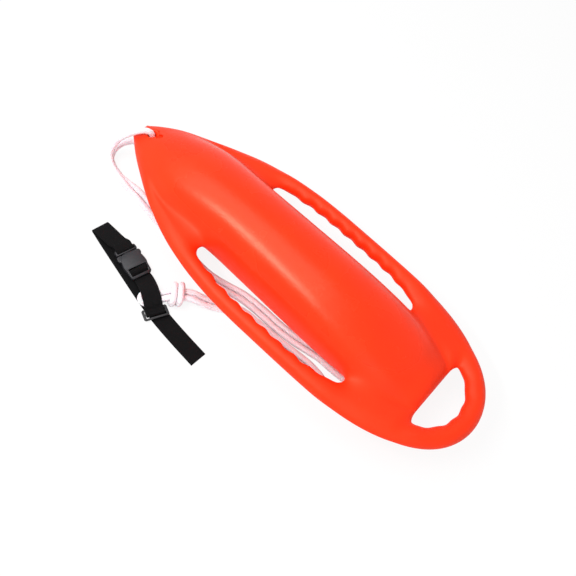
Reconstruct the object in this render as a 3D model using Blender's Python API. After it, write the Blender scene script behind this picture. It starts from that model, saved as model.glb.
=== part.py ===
"""Rescue buoy: moulded hull with scalloped grips, doubled tow rope and shoulder belt.

Frame: +X towards the nose, +Y towards the side where the belt lies, +Z up.
The origin is the middle of the flat land on the belly. Sizes below are in millimetres.
"""
import math

import bmesh
import bpy
import numpy as np
from mathutils import Matrix, Vector

MM = 0.001

# Hull: overall size and height of the moulding's mid-plane above the floor
BELLY_CUT = 1.0
HALF_DEPTH = 67.5
MID_Z = HALF_DEPTH - BELLY_CUT
NOSE_TIP = 365.0
TAIL_TIP = -365.0

# Hull offsets: (station along X, value), read as smooth curves
HALF_WIDTH = [(-290, 109), (-240, 128), (-200, 136.6), (-150, 141.8), (-100, 143), (-50, 143.3), (0, 143.3),
              (50, 142), (100, 137), (145, 129), (180, 119.7), (210, 108.6), (240, 94.3), (270, 77.3),
              (300, 60.2), (325, 45.6), (345, 31.2), (356, 21.8)]
HALF_HEIGHT = [(-290, 13), (-265, 19), (-240, 28), (-200, 42), (-150, 55), (-100, 63), (-50, 66.8), (0, 67.5),
               (50, 67.5), (100, 66.5), (140, 64.5), (180, 60.5), (210, 56), (240, 49.5), (270, 42),
               (300, 33), (325, 23.8), (345, 14.8), (356, 9.8)]
BODY_WIDTH = [(-290, 48), (-240, 65), (-200, 75), (-150, 79), (-100, 78.4), (-50, 77), (0, 75.7), (50, 74.4),
              (100, 73.5), (145, 73), (180, 74), (210, 74.5), (240, 71.5), (270, 62), (300, 49), (330, 32)]
GRIP_LINE = [(-165, 97), (-151, 103.5), (-136, 110.5), (-121, 114.5), (-60, 118), (0, 118), (60, 116), (90, 112),
             (112, 107), (129, 101)]
WEB_INNER = [(-290, 55), (-240, 76), (-190, 85), (145, 80), (180, 79.5), (210, 79), (240, 75), (270, 65), (300, 52)]
WEB_OUTER = [(-290, 64), (-240, 92), (-190, 104), (145, 99), (180, 96), (210, 88), (240, 80.5), (270, 69), (300, 55)]

RIM_HALF = 13.5
WEB_HALF = 13.0
BODY_POWER = 2.1
NOSE_POWER = 2.0

# Side slots and their finger grips
SLOT_FRONT, SLOT_REAR = 129.0, -165.0
GRIP_FIRST, GRIP_PITCH, GRIP_COUNT = 84.0, 29.3, 8
GRIP_WAVE = 7.5

# Tail grip hole: its straight side, then matching points of the hole's edge and of the tail's edge
HOLE_X = -287.0
HOLE_CORNER = [(HOLE_X, 47), (-291, 58)]
HOLE_EDGE = [(-299, 61), (-310.5, 56), (-318.5, 40.8), (-330.5, 28.8), (-329.3, 14.6), (-336, 0)]
TAIL_EDGE = [(-304, 100.3), (-324, 86.4), (-342, 68.9), (-355.5, 46.8), (-363.5, 23.4), (-366, 0)]

# Rope tunnel and filler plug in the nose
TUNNEL_X, TUNNEL_RADIUS, TUNNEL_FLARE = 337.0, 6.75, 5.5
PORT_X, PORT_TILT = 321.0, math.radians(18)
PORT_RADIUS, PORT_SEAT, PORT_DEPTH = 4.3, 5.9, 5.0

# Shell and core
WALL = 6.0
CORE_GAP = 0.4
HOLLOW_FRONT, CORE_FRONT, CORE_REAR = 326.0, 305.0, -232.0

# Rope: doubled, both legs side by side
ROPE = 10.5
LEG_OFFSET = ROPE / 2 + 0.4
LEG_OVER_NOSE = [(337, 0, 66.8), (337, 0, 75), (338.5, 1, 83), (342.5, 5, 88), (348.5, 12, 89.5),
                 (356.3, 19.5, 84.5), (366, 25, 73.5), (376.5, 28.5, 59.5), (383.6, 33.5, 45.5), (386, 40.5, 33),
                 (384, 49, 24.5), (376, 56, 19.3), (365.4, 61.2, 17), (352.3, 64.8, 16.4), (339.5, 66.9, 15),
                 (326.8, 67.2, 11.3), (313.8, 66.8, 7)]
LEG_UNDER_NOSE = [(337, 0, 66.2), (337, 0, 58), (338, 0, 51), (341.5, 0.3, 45), (347.5, 1, 40.5), (355, 2, 38),
                  (364, 3.8, 36.5), (373, 7.5, 34), (380.5, 13, 29.5), (386.5, 20, 23.5), (390.5, 28, 16),
                  (390, 37, 9), (383, 46.2, 5.7), (370.5, 52.8, 5.4), (356.3, 56.8, 5.4), (342, 58.6, 5.4),
                  (327, 57.3, 5.4), (313, 55.8, 5.4)]
PAIR_ROUTE = [(300, 61.3, 5.4), (285, 63, 5.4), (271, 65.2, 5.4), (257, 67.2, 5.4), (238, 70, 5.4),
              (220, 72.3, 5.4), (192, 77, 5.4), (165, 82, 5.4), (140, 85, 5.4), (118, 86, 5.4), (97, 84, 5.4),
              (70, 77.5, 5.4), (43, 70, 5.4), (10, 67, 5.4), (-30, 66.5, 5.4), (-60, 64, 5.4), (-88, 59, 5.4),
              (-115, 53.5, 5.4), (-142, 52.5, 5.4), (-168, 50.5, 5.4), (-190, 44.5, 5.4), (-208, 42.2, 5.4),
              (-226, 49, 5.4), (-233.5, 68, 5.4), (-226, 87, 5.4), (-208, 93.8, 5.4), (-184, 94, 5.4),
              (-160, 91, 5.4), (-135, 85, 5.4), (-110, 83, 5.4), (-80, 85.5, 5.4), (-45, 89, 5.4),
              (-10, 90.5, 5.4), (20, 93, 5.4), (41, 100, 5.4), (56, 109.5, 5.4), (68, 118.3, 6.2),
              (78, 125.3, 9.6), (86.8, 130.8, 13.8), (95.2, 135.6, 16.5), (103.6, 142, 16.9), (112.2, 150.4, 16.9)]
BIGHT_ROUTE = [(113.1, 151.3, 16.9, 5.65), (121, 159.4, 16.7, 5.65), (127, 166, 12.4, 5.7),
               (132, 171.8, 8.2, 6.2), (137, 177.8, 7.9, 8.3), (140.8, 183.6, 7.9, 9.5), (143.6, 189, 7.9, 9.5)]
KNOT_CENTRE = (112.5, 150.5, 16.9)
KNOT_TURN = math.radians(46)
KNOT_TURNS, KNOT_PITCH = 1.5, 11.0

# Belt
WEB_WIDTH, WEB_THICK = 30.0, 2.0
BUCKLE_CENTRE = (205.0, 160.5, 8.9)
BUCKLE_TURN = math.radians(-12.5)
SLIDER_CENTRE = (116.0, 196.0, 6.9)
SLIDER_TURN = math.radians(156)
BAR = 3.2
SLIDER_BAR = 2.8


def fair(table, x):
    """Smooth monotone curve through (station, value) pairs, read at x."""
    stations, values = np.array(sorted(table), dtype=float).T
    slopes = np.diff(values) / np.diff(stations)
    tangents = [slopes[0]]
    for before, after in zip(slopes[:-1], slopes[1:]):
        same_way = before * after > 0
        tangents.append(2 * before * after / (before + after) if same_way else 0.0)
    tangents.append(slopes[-1])
    i = int(np.clip(np.searchsorted(stations, x) - 1, 0, len(slopes) - 1))
    step = stations[i + 1] - stations[i]
    t = (x - stations[i]) / step
    start, end = values[i], values[i + 1]
    return (start * (1 + 2 * t) * (1 - t) ** 2 + end * t * t * (3 - 2 * t)
            + step * (tangents[i] * t * (1 - t) ** 2 - tangents[i + 1] * t * t * (1 - t)))


def smooth_path(points, spacing, turn_step=1e9):
    """Points along a smooth curve through the given points, closer together where it bends."""
    knots = np.array(points, dtype=float)
    ends = np.vstack([2 * knots[0] - knots[1], knots, 2 * knots[-1] - knots[-2]])
    dense = []
    for i in range(1, len(ends) - 2):
        before, start, end, after = ends[i - 1:i + 3]
        for t in np.linspace(0, 1, 12, endpoint=False):
            dense.append(0.5 * (2 * start + (end - before) * t
                                + (2 * before - 5 * start + 4 * end - after) * t * t
                                + (3 * start - before - 3 * end + after) * t ** 3))
    dense.append(knots[-1])
    dense = np.array(dense)
    steps = np.diff(dense[:, :3], axis=0)
    lengths = np.linalg.norm(steps, axis=1)
    headings = steps / lengths[:, None]
    bends = np.degrees(np.arccos(np.clip((headings[1:] * headings[:-1]).sum(axis=1), -1, 1)))
    effort = np.concatenate([[0], np.cumsum(lengths / spacing + np.append(0, bends) / turn_step)])
    count = max(2, round(effort[-1]))
    wanted = np.linspace(0, effort[-1], count + 1)
    return np.column_stack([np.interp(wanted, effort, column) for column in dense.T])


def material(name, colour, roughness, metallic=0.0):
    """Plain material of one colour."""
    made = bpy.data.materials.new(name)
    made.use_nodes = True
    shader = made.node_tree.nodes["Principled BSDF"]
    shader.inputs["Base Color"].default_value = (*colour, 1)
    shader.inputs["Roughness"].default_value = roughness
    shader.inputs["Metallic"].default_value = metallic
    return made


def add_object(name, mesh, finish=None, place=(0, 0, 0), turn=0.0, smooth_angle=35):
    """Object with its mesh, finish, place in millimetres and turn about Z."""
    part = bpy.data.objects.new(name, mesh)
    bpy.context.scene.collection.objects.link(part)
    part.location = Vector(place) * MM
    part.rotation_euler.z = turn
    if finish:
        mesh.materials.append(finish)
        mesh.shade_smooth()
        mesh.set_sharp_from_angle(angle=math.radians(smooth_angle))
    return part


def mesh_from(name, vertices, faces, recalculate=True):
    """Mesh from points in millimetres."""
    mesh = bpy.data.meshes.new(name)
    shape = bmesh.new()
    made = [shape.verts.new(Vector(v) * MM) for v in vertices]
    for face in faces:
        shape.faces.new([made[i] for i in face])
    if recalculate:
        bmesh.ops.recalc_face_normals(shape, faces=shape.faces)
    shape.to_mesh(mesh)
    shape.free()
    return mesh


def loft(name, rings):
    """Closed body through rings of equal point counts."""
    count = len(rings[0])
    vertices = [point for ring in rings for point in ring]
    faces = [tuple(range(count)), tuple(range((len(rings) - 1) * count, len(rings) * count))]
    for i in range(len(rings) - 1):
        for k in range(count):
            after = (k + 1) % count
            faces.append((i * count + k, i * count + after, (i + 1) * count + after, (i + 1) * count + k))
    return mesh_from(name, vertices, faces)


def lathe(name, profile, sides):
    """Turned body from (radius, height) pairs; the first and the last lie on the axis."""
    vertices = [(0, 0, profile[0][1])]
    for radius, height in profile[1:-1]:
        for k in range(sides):
            angle = 2 * math.pi * k / sides
            vertices.append((radius * math.cos(angle), radius * math.sin(angle), height))
    vertices.append((0, 0, profile[-1][1]))
    last = len(vertices) - 1
    faces = []
    for k in range(sides):
        after = (k + 1) % sides
        faces.append((0, 1 + k, 1 + after))
        faces.append((last, last - sides + k, last - sides + after))
        for ring in range(len(profile) - 3):
            low, high = 1 + ring * sides, 1 + (ring + 1) * sides
            faces.append((low + k, low + after, high + after, high + k))
    return mesh_from(name, vertices, faces)


def prism(name, outline, low, high, upright="Z"):
    """Closed body: an outline drawn in XY and raised in Z, or drawn in XZ and spread in Y."""
    if upright == "Z":
        rings = [[(x, y, level) for x, y in outline] for level in (low, high)]
    else:
        rings = [[(x, level, z) for x, z in outline] for level in (low, high)]
    return loft(name, rings)


def both_sides(half):
    """Outline symmetrical about its X axis from its +Y half."""
    mirrored = [(x, -y) for x, y in reversed(half) if y > 0]
    return list(half) + mirrored


def box(name, low, high):
    """Box between two corners."""
    outline = [(low[0], low[1]), (high[0], low[1]), (high[0], high[1]), (low[0], high[1])]
    return prism(name, outline, low[2], high[2])


def combine(part, mesh, operation="DIFFERENCE", place=None, turn=None, tilt=0.0):
    """Boolean of a part with a hidden cutter, which stands where the part stands unless told."""
    cutter = bpy.data.objects.new(mesh.name, mesh)
    bpy.context.scene.collection.objects.link(cutter)
    cutter.location = Vector(place) * MM if place else part.location
    cutter.rotation_euler.z = part.rotation_euler.z if turn is None else turn
    cutter.rotation_euler.y = tilt
    cutter.hide_render = True
    cutter.display_type = "WIRE"
    cut = part.modifiers.new(mesh.name, "BOOLEAN")
    cut.operation = operation
    cut.object = cutter


def bevel(part, width, segments=2, angle=40):
    """Rounded edges."""
    edge = part.modifiers.new("Rounded edges", "BEVEL")
    edge.width = width * MM
    edge.segments = segments
    edge.limit_method = "ANGLE"
    edge.angle_limit = math.radians(angle)


def tube(name, points, diameter, finish, resolution=2):
    """Rope as a round tube through its points."""
    curve = bpy.data.curves.new(name, "CURVE")
    curve.dimensions = "3D"
    curve.bevel_depth = diameter / 2 * MM
    curve.bevel_resolution = resolution
    curve.use_fill_caps = True
    spline = curve.splines.new("POLY")
    spline.points.add(len(points) - 1)
    for spot, point in zip(spline.points, points):
        spot.co = (*(Vector(point[:3]) * MM), 1)
    curve.materials.append(finish)
    part = bpy.data.objects.new(name, curve)
    bpy.context.scene.collection.objects.link(part)
    return part


def strap(name, route, finish, spacing=8.0):
    """Flat webbing along (x, y, z, heading of its width in degrees) points."""
    stations = smooth_path(route, spacing, 18)
    tangents = np.gradient(stations[:, :3], axis=0)
    half, thick, corner = WEB_WIDTH / 2, WEB_THICK / 2, 0.6
    section = [(half, -thick + corner), (half, thick - corner), (half - corner, thick), (corner - half, thick),
               (-half, thick - corner), (-half, corner - thick), (corner - half, -thick), (half - corner, -thick)]
    rings = []
    for (x, y, z, heading), tangent in zip(stations, tangents):
        across = Vector((math.cos(math.radians(heading)), math.sin(math.radians(heading)), 0))
        normal = Vector(tangent).cross(across).normalized()
        rings.append([Vector((x, y, z)) + across * side + normal * up for side, up in section])
    return add_object(name, loft(name, rings), finish)


def superellipse(half_width, half_height, angle, power):
    """Point of a rounded section, angle 0 at the top and 90 degrees at the side."""
    turn = math.radians(angle)
    return (half_width * math.sin(turn) ** (2 / power), half_height * max(0, math.cos(turn)) ** (2 / power))


# Hull
SECTION_LIFT = 1.026
RIM_LIFT = 1.5


def rim_controls(inner, outer):
    """Inner edge, crown and outer edge of the rim as subdivision controls."""
    inner, outer = np.array(inner, dtype=float), np.array(outer, dtype=float)
    centre = (inner + outer) / 2
    return inner * RIM_LIFT - centre * (RIM_LIFT - 1), centre, outer * RIM_LIFT - centre * (RIM_LIFT - 1)


def body_row(x, angle):
    """Point of the body's section as a subdivision control."""
    return superellipse(fair(BODY_WIDTH, x) * SECTION_LIFT, fair(HALF_HEIGHT, x) * SECTION_LIFT, angle, BODY_POWER)


def web_station(x):
    """Section where body and rim are joined, blended into the nose's single rounded section."""
    width, height = fair(HALF_WIDTH, x), fair(HALF_HEIGHT, x)
    web = min(WEB_HALF, height * 0.8) - 5 * float(np.clip((x - 190) / 50, 0, 1))
    crown = max(width - RIM_HALF, fair(WEB_OUTER, x) + 4)
    rows = [body_row(x, angle) for angle in (0, 26, 50, 69)]
    rows += [(fair(WEB_INNER, x), web), (fair(WEB_OUTER, x), web), (crown, web + 3), (width + RIM_HALF / 2, 0)]
    blend = float(np.clip((318 - x) / 80, 0, 1))
    blend = blend * blend * (3 - 2 * blend)
    nose = [superellipse(width * SECTION_LIFT, height * SECTION_LIFT, angle, NOSE_POWER)
            for angle in (0, 15, 29, 43, 56, 68, 79, 90)]
    return [(x, *(np.array(near) * (1 - blend) + np.array(far) * blend)) for near, far in zip(nose, rows)]


def slot_station(x, wave):
    """Section across a side slot: body and rim apart, both closed on the mid-plane."""
    rows = [(x, *body_row(x, angle)) for angle in (0, 26, 50, 71, 90)]
    grip = fair(GRIP_LINE, x)
    width = fair(HALF_WIDTH, x)
    centre = width - RIM_HALF
    inner = grip * RIM_LIFT - (grip + width) / 2 * (RIM_LIFT - 1) - wave
    return rows + [(x, inner, 0), (x, centre, RIM_HALF * RIM_LIFT), (x, width + RIM_HALF / 2, 0)]


def hull_cage():
    """Quarter cage of the hull: rows from the centreline to the edge at stations from nose to tail."""
    tip_rows = [(NOSE_TIP + 3.0, 15.0 * k / 7, 0) for k in range(8)]
    stations = [(tip_rows, False)]
    for x in (358, 345, 325, 302, 275, 248, 222, 195, 171, 150):
        stations.append((web_station(x), False))
    front = slot_station(SLOT_FRONT, 0)
    front[4], front[5] = (SLOT_FRONT, 83, 0), (SLOT_FRONT, 97, 0)
    stations.append((front, True))
    stations.append((slot_station(113, 0), True))
    stations.append((slot_station(GRIP_FIRST + GRIP_PITCH / 2, -GRIP_WAVE / 2), True))
    for k in range(2 * GRIP_COUNT - 1):
        stations.append((slot_station(GRIP_FIRST - k * GRIP_PITCH / 2, GRIP_WAVE if k % 2 == 0 else -GRIP_WAVE), True))
    stations.append((slot_station(GRIP_FIRST - (GRIP_COUNT - 0.5) * GRIP_PITCH, -GRIP_WAVE / 2), True))
    stations.append((slot_station(-151, 0), True))
    rear = slot_station(SLOT_REAR, 0)
    rear[4], rear[5] = (SLOT_REAR, 84, 0), (SLOT_REAR, 92, 0)
    stations.append((rear, False))
    for x in (-190, -215, -240, -260, -274):
        stations.append((web_station(x), False))
    width = fair(HALF_WIDTH, HOLE_X)
    inner, crown, outer = rim_controls((HOLE_X, 62), (HOLE_X + 3, width))
    hole_rows = [(HOLE_X, y, 0) for y in (0, 13, 26, 39)] + [(x, y, 0) for x, y in HOLE_CORNER]
    hole_rows += [(*crown, RIM_HALF * 1.25), (*outer, 0)]
    stations.append((hole_rows, False))

    vertices, faces = [], []
    for rows, open_after in stations:
        base = len(vertices)
        vertices += rows
        if base:
            for j in range(7):
                if j != 4 or not slot_before:
                    faces.append((base - 8 + j, base - 7 + j, base + j + 1, base + j))
        slot_before = open_after
    edge = [len(vertices) - 3, len(vertices) - 2, len(vertices) - 1]
    for inside, outside in zip(HOLE_EDGE, TAIL_EDGE):
        inner, crown, outer = rim_controls(inside, outside)
        base = len(vertices)
        vertices += [(*inner, 0), (*crown, RIM_HALF * RIM_LIFT), (*outer, 0)]
        if inside[1] == 0:
            for k in (3, 2, 1):
                vertices[-k] = (vertices[-k][0], 0.0, vertices[-k][2])
        faces += [(edge[0], edge[1], base + 1, base), (edge[1], edge[2], base + 2, base + 1)]
        edge = [base, base + 1, base + 2]
    return mesh_from("hull_shell", vertices, faces, recalculate=False)


def core_rings(inset, front):
    """Rings of the hollow inside the body, inset from its surface."""
    rings = []
    for x in (front, 300, 270, 235, 200, 160, 110, 50, 0, -50, -100, -150, -195,
              CORE_REAR + inset - WALL):
        half_width, half_height = fair(BODY_WIDTH, x) - inset, fair(HALF_HEIGHT, x) - inset
        ring = []
        for quarter in range(16):
            angle = quarter * 22.5
            y, z = superellipse(half_width, half_height, min(angle % 180, 180 - angle % 180), BODY_POWER)
            ring.append((x, y if angle < 180 else -y, z if angle <= 90 or angle >= 270 else -z))
        rings.append(ring)
    return rings


def build_hull(finish):
    """Shell with its hollow, rope tunnel, filler port and flat land on the belly."""
    hull = add_object("hull_shell", hull_cage(), finish, (0, 0, MID_Z), smooth_angle=60)
    halves = hull.modifiers.new("Both halves", "MIRROR")
    halves.use_axis = (False, True, True)
    halves.merge_threshold = 0.0001
    fairing = hull.modifiers.new("Fairing", "SUBSURF")
    fairing.levels = fairing.render_levels = 1
    combine(hull, loft("hull_hollow", core_rings(WALL, HOLLOW_FRONT)))

    depth = fair(HALF_HEIGHT, TUNNEL_X)
    bore = [(0, -depth - 12), (TUNNEL_RADIUS + TUNNEL_FLARE + 4, -depth - 12)]
    flare = [(TUNNEL_RADIUS + TUNNEL_FLARE * (1 - math.cos(a)), depth - 1.5 - TUNNEL_FLARE * (1 - math.sin(a)))
             for a in (math.radians(d) for d in (0, 30, 60, 82))]
    bore += [(radius, -height) for radius, height in reversed(flare)] + flare
    bore += [(TUNNEL_RADIUS + TUNNEL_FLARE + 4, depth + 12), (0, depth + 12)]
    bore[2] = (TUNNEL_RADIUS + TUNNEL_FLARE, bore[2][1])
    combine(hull, lathe("rope_tunnel", bore, 20), place=(TUNNEL_X, 0, MID_Z))

    port = [(0, -17), (PORT_RADIUS, -17), (PORT_RADIUS, -PORT_DEPTH), (PORT_SEAT, -PORT_DEPTH), (PORT_SEAT, -0.6),
            (PORT_SEAT + 1.2, 6), (0, 6)]
    combine(hull, lathe("filler_port", port, 20), place=port_place(), tilt=PORT_TILT)
    combine(hull, box("belly_land", (-200, -60, -20), (200, 60, 0)), place=(0, 0, 0))
    return hull


def port_place():
    """Middle of the filler port on the nose's top surface."""
    return (PORT_X, 0, MID_Z + fair(HALF_HEIGHT, PORT_X))


def build_plug(finish):
    """Filler plug, pressed into its port and sunk below the surface."""
    stem, head = PORT_RADIUS - 0.3, PORT_SEAT - 0.4
    under = 0.4 - PORT_DEPTH
    profile = [(0, -12), (stem - 0.8, -12), (stem, -11), (stem, under), (head, under), (head, under + 0.9),
               (head - 0.6, under + 1.4), (1.6, under + 1.7), (1.2, under + 1.2), (0, under + 1.2)]
    plug = add_object("filler_plug", lathe("filler_plug", profile, 20), finish, port_place())
    plug.rotation_euler.y = PORT_TILT


def rope_pair():
    """Both legs of the doubled rope, side by side along one route."""
    centre = smooth_path(PAIR_ROUTE, 3.0)
    tangents = np.gradient(centre, axis=0)
    across = np.column_stack([tangents[:, 1], -tangents[:, 0], np.zeros(len(centre))])
    across /= np.linalg.norm(across, axis=1)[:, None]
    return centre + across * LEG_OFFSET, centre - across * LEG_OFFSET


def build_rope(finish):
    """Two legs, the bight through the belt and the knot that closes it."""
    spacing = ROPE * 2.5
    over, under = rope_pair()
    over = smooth_path(LEG_OVER_NOSE + [tuple(p) for p in over[:-3:4]] + [tuple(over[-1])], spacing, 15)
    under = smooth_path(LEG_UNDER_NOSE + [tuple(p) for p in under[:-3:4]] + [tuple(under[-1])], spacing, 15)
    tube("rope_leg_over", over, ROPE, finish)
    tube("rope_leg_under", under, ROPE, finish)
    dense_over, dense_under = smooth_path(over, 2.0), smooth_path(under, 2.0)
    apart = np.linalg.norm(dense_over[6:, None] - dense_under[None, 6:], axis=2).min() - ROPE
    print("rope legs: %.2f m and %.2f m, gap between them %.2f mm" % (
        np.linalg.norm(np.diff(dense_over, axis=0), axis=1).sum() * MM,
        np.linalg.norm(np.diff(dense_under, axis=0), axis=1).sum() * MM, apart))

    neck, spread = np.split(smooth_path(BIGHT_ROUTE, ROPE, 15), [3], axis=1)
    tangents = np.gradient(neck, axis=0)
    across = np.column_stack([tangents[:, 1], -tangents[:, 0], np.zeros(len(neck))])
    across /= np.linalg.norm(across, axis=1)[:, None]
    turn_radius = spread[-1, 0]
    forward = tangents[-1] / np.linalg.norm(tangents[-1])
    arc = [neck[-1] + across[-1] * turn_radius * math.cos(a) + forward * turn_radius * math.sin(a)
           for a in np.linspace(0, math.pi, 9)[1:-1]]
    tube("rope_bight", np.vstack([neck + across * spread, arc, (neck - across * spread)[::-1]]), ROPE, finish)

    turns = []
    reach = ROPE + 0.5
    steps = round(24 * KNOT_TURNS)
    ahead = Vector((math.cos(KNOT_TURN), math.sin(KNOT_TURN), 0))
    side = Vector((math.sin(KNOT_TURN), -math.cos(KNOT_TURN), 0))
    for k in range(steps + 1):
        angle = 2 * math.pi * KNOT_TURNS * (k / steps - 1)
        along = KNOT_PITCH * KNOT_TURNS * (k / steps - 0.5)
        spread = LEG_OFFSET * max(-1, min(1, 2 * math.cos(angle)))
        offset = side * (spread + reach * math.cos(angle)) + Vector((0, 0, reach * math.sin(angle)))
        turns.append(Vector(KNOT_CENTRE) + ahead * along + offset)
    tube("rope_knot", turns, ROPE, finish, resolution=1)
    spots = np.array(turns)
    least = min(np.linalg.norm(spots[i] - spots[j]) for i in range(len(spots)) for j in range(i + 12, len(spots)))
    print("rope knot: least gap between its turns %.2f mm" % (least - ROPE))


# Belt
def buckle_point(x, z, heading=77.5, y=0.0):
    """Strap route point given in the buckle's own frame."""
    turned = Matrix.Rotation(BUCKLE_TURN, 3, "Z") @ Vector((x, y, z)) + Vector(BUCKLE_CENTRE)
    return (turned.x, turned.y, turned.z, heading)


def slider_point(x, z, y=0.0):
    """Strap route point given in the slider's own frame."""
    turned = Matrix.Rotation(SLIDER_TURN, 3, "Z") @ Vector((x, y, z)) + Vector(SLIDER_CENTRE)
    return (turned.x, turned.y, turned.z, math.degrees(SLIDER_TURN) - 90)


def build_straps(finish):
    """The long webbing of the male side and the short strap between buckle and slider."""
    wrap = BAR * 0.71 + 0.4 + WEB_THICK / 2
    flat = WEB_THICK / 2 + 0.3
    route = [buckle_point(MALE_BAR_X + 17, -1.6), buckle_point(MALE_BAR_X + 9, -wrap + 0.6),
             buckle_point(MALE_BAR_X + 1.5, -wrap)]
    route += [buckle_point(MALE_BAR_X - wrap * math.cos(a), wrap * math.sin(a))
              for a in (math.radians(d) for d in (-60, -25, 25, 60))]
    route += [buckle_point(MALE_BAR_X + 2, wrap), buckle_point(MALE_BAR_X + 10, wrap - 0.3, 79),
              (250, 154.6, 11.4, 80.5), (270, 154.0, 9.6, 82), (284, 153.6, 8.6, 83)]
    fold = 3.4
    route += [(288 + fold * math.sin(a), 153.5, flat + fold + fold * math.cos(a), 82.5)
              for a in (math.radians(d) for d in (20, 60, 90, 120, 160))]
    route += [(284, 154.6, flat, 80), (262, 160, flat, 77.5), (210, 172, flat, 77.2), (156.7, 184, flat, 77.5),
              (125, 190.3, flat, 80), (100, 194.3, flat, 83), (60, 198, flat, 85), (14.9, 201, flat, 88)]
    strap("belt_strap", route, finish)

    short = [buckle_point(-12.2, -4.0), buckle_point(-12.2, -0.8), buckle_point(-12.4, 2.0),
             buckle_point(-15.0, 3.7), buckle_point(-18.4, 3.1), buckle_point(-21.2, 0.4),
             buckle_point(-23.6, -2.3, 76), buckle_point(-28.0, -3.1, 75), buckle_point(-34, -1.6, 73),
             (160, 172.8, 12.2, 70), (149, 178.3, 15.6, 67), (141, 183, 16.5, 66), (133, 187.6, 16.2, 66)]
    loop = SLIDER_BAR * 0.71 + 0.3 + WEB_THICK / 2
    short += [slider_point(-12.0, 7.4), slider_point(-7.0, loop + 0.4), slider_point(-2, loop)]
    short += [slider_point(loop * math.sin(a), loop * math.cos(a)) for a in
              (math.radians(d) for d in (25, 65, 115, 155))]
    short += [slider_point(-2.5, -loop), slider_point(-10.5, -loop)]
    strap("short_strap", short, finish, spacing=5.0)


MALE_BAR_X = 27.0
HOUSING_SIDE = [(20, 3.4), (16, 5.2), (8, 6.0), (-8, 6.0), (-13, 4.8), (-26, 3.4), (-28.6, 1.8), (-28.6, -2.2),
                (-26, -4.0), (-8, -5.8), (16, -5.8), (20, -4.4)]
HOUSING_HALF = [(18.2, 0), (18.2, 9.4), (16.4, 12.2), (13, 14.6), (9, 16.6), (4, 18.4), (-4, 19.4), (-9, 19.4),
                (-12, 18.6), (-26, 17.8), (-28.5, 15.8), (-28.5, 0)]
CAVITY_HALF = [(26, 0), (26, 26), (5.4, 26), (5.4, 15.0), (2.0, 15.0), (2.0, 17.9), (-5, 17.9), (-5, 0)]
BASE_HALF = [(-3, 0), (-3, 3.6), (-1, 5.4), (19.2, 5.4), (19.2, 17.2), (20.2, 18.2), (27.6, 18.2), (29.4, 16.4),
             (29.4, 0)]
BASE_SIDE = [(-4, 2.6), (-1, 3.5), (18.8, 3.5), (19.8, 4.8), (24, 4.8), (30, 3.0), (30, -3.0), (24, -4.8),
             (19.8, -4.8), (18.8, -3.5), (-1, -3.5), (-4, -2.6)]
ARM_HALF = [(18.5, 11.5), (18.5, 17.2), (17, 19.9), (14.5, 21.0), (11, 20.8), (8, 19.2), (5.9, 16.8), (5.9, 14.4),
            (1.7, 14.4), (1.7, 17.4), (0, 17.4), (-3.8, 14.0), (-3.8, 11.8), (4, 11.2)]
ARM_PIVOT = (19.0, 14.5)
WINDOW = 15.7


def build_buckle(finish):
    """Side-release buckle: female housing, male base and two spring arms."""
    def part(name, outline, low, high):
        return add_object(name, prism(name, outline, low, high), finish, BUCKLE_CENTRE, BUCKLE_TURN)

    housing = part("buckle_housing", both_sides(HOUSING_HALF), -7, 7)
    combine(housing, prism("housing_side", HOUSING_SIDE, -25, 25, "Y"), "INTERSECT")
    bevel(housing, 0.7)
    combine(housing, prism("housing_cavity", both_sides(CAVITY_HALF), -3.9, 3.9))
    combine(housing, box("lock_window_rear", (-14.0, -WINDOW, -9), (-10.6, WINDOW, 9)))
    combine(housing, box("lock_window_front", (-25.0, -WINDOW, -9), (-17.4, WINDOW, 9)))
    combine(housing, box("inner_bar_top", (-18.5, -WINDOW, 1.5), (-13, WINDOW, 9)))
    combine(housing, box("inner_bar_base", (-18.5, -WINDOW, -9), (-13, WINDOW, -2.4)))
    combine(housing, box("end_bar_base", (-31, -WINDOW, -9), (-24, WINDOW, -1.2)))

    base = part("buckle_base", both_sides(BASE_HALF), -6, 6)
    combine(base, prism("base_side", BASE_SIDE, -25, 25, "Y"), "INTERSECT")
    bevel(base, 0.5)
    combine(base, box("base_window", (21.4, -WINDOW, -9), (MALE_BAR_X - BAR / 2, WINDOW, 9)))
    combine(base, box("bar_top", (21.4, -WINDOW, BAR / 2), (32, WINDOW, 9)))
    combine(base, box("bar_base", (21.4, -WINDOW, -9), (32, WINDOW, -BAR / 2)))
    combine(base, box("bar_end", (MALE_BAR_X + BAR / 2, -WINDOW, -9), (32, WINDOW, 9)))

    for name, side in (("buckle_arm_left", 1), ("buckle_arm_right", -1)):
        outline = [(x - ARM_PIVOT[0], side * (y - ARM_PIVOT[1])) for x, y in ARM_HALF]
        arm = part(name, outline, -3.5, 3.5)
        x, y, z, _ = buckle_point(ARM_PIVOT[0], 0, y=side * ARM_PIVOT[1])
        arm.location = Vector((x, y, z)) * MM
        bevel(arm, 0.5)


def build_slider(finish):
    """Three-bar slider."""
    half = [(-9.6, 0), (-9.6, 18.4), (-7.6, 20.6), (7.6, 20.6), (9.6, 18.4), (9.6, 0)]
    slider = add_object("belt_slider", prism("belt_slider", both_sides(half), -SLIDER_BAR / 2, SLIDER_BAR / 2), finish,
                        SLIDER_CENTRE, SLIDER_TURN)
    bevel(slider, 0.6)
    for name, low, high in (("slider_window_front", -6.6, -SLIDER_BAR / 2), ("slider_window_rear", SLIDER_BAR / 2, 6.6)):
        combine(slider, box(name, (low, -16.6, -5), (high, 16.6, 5)))


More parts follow.
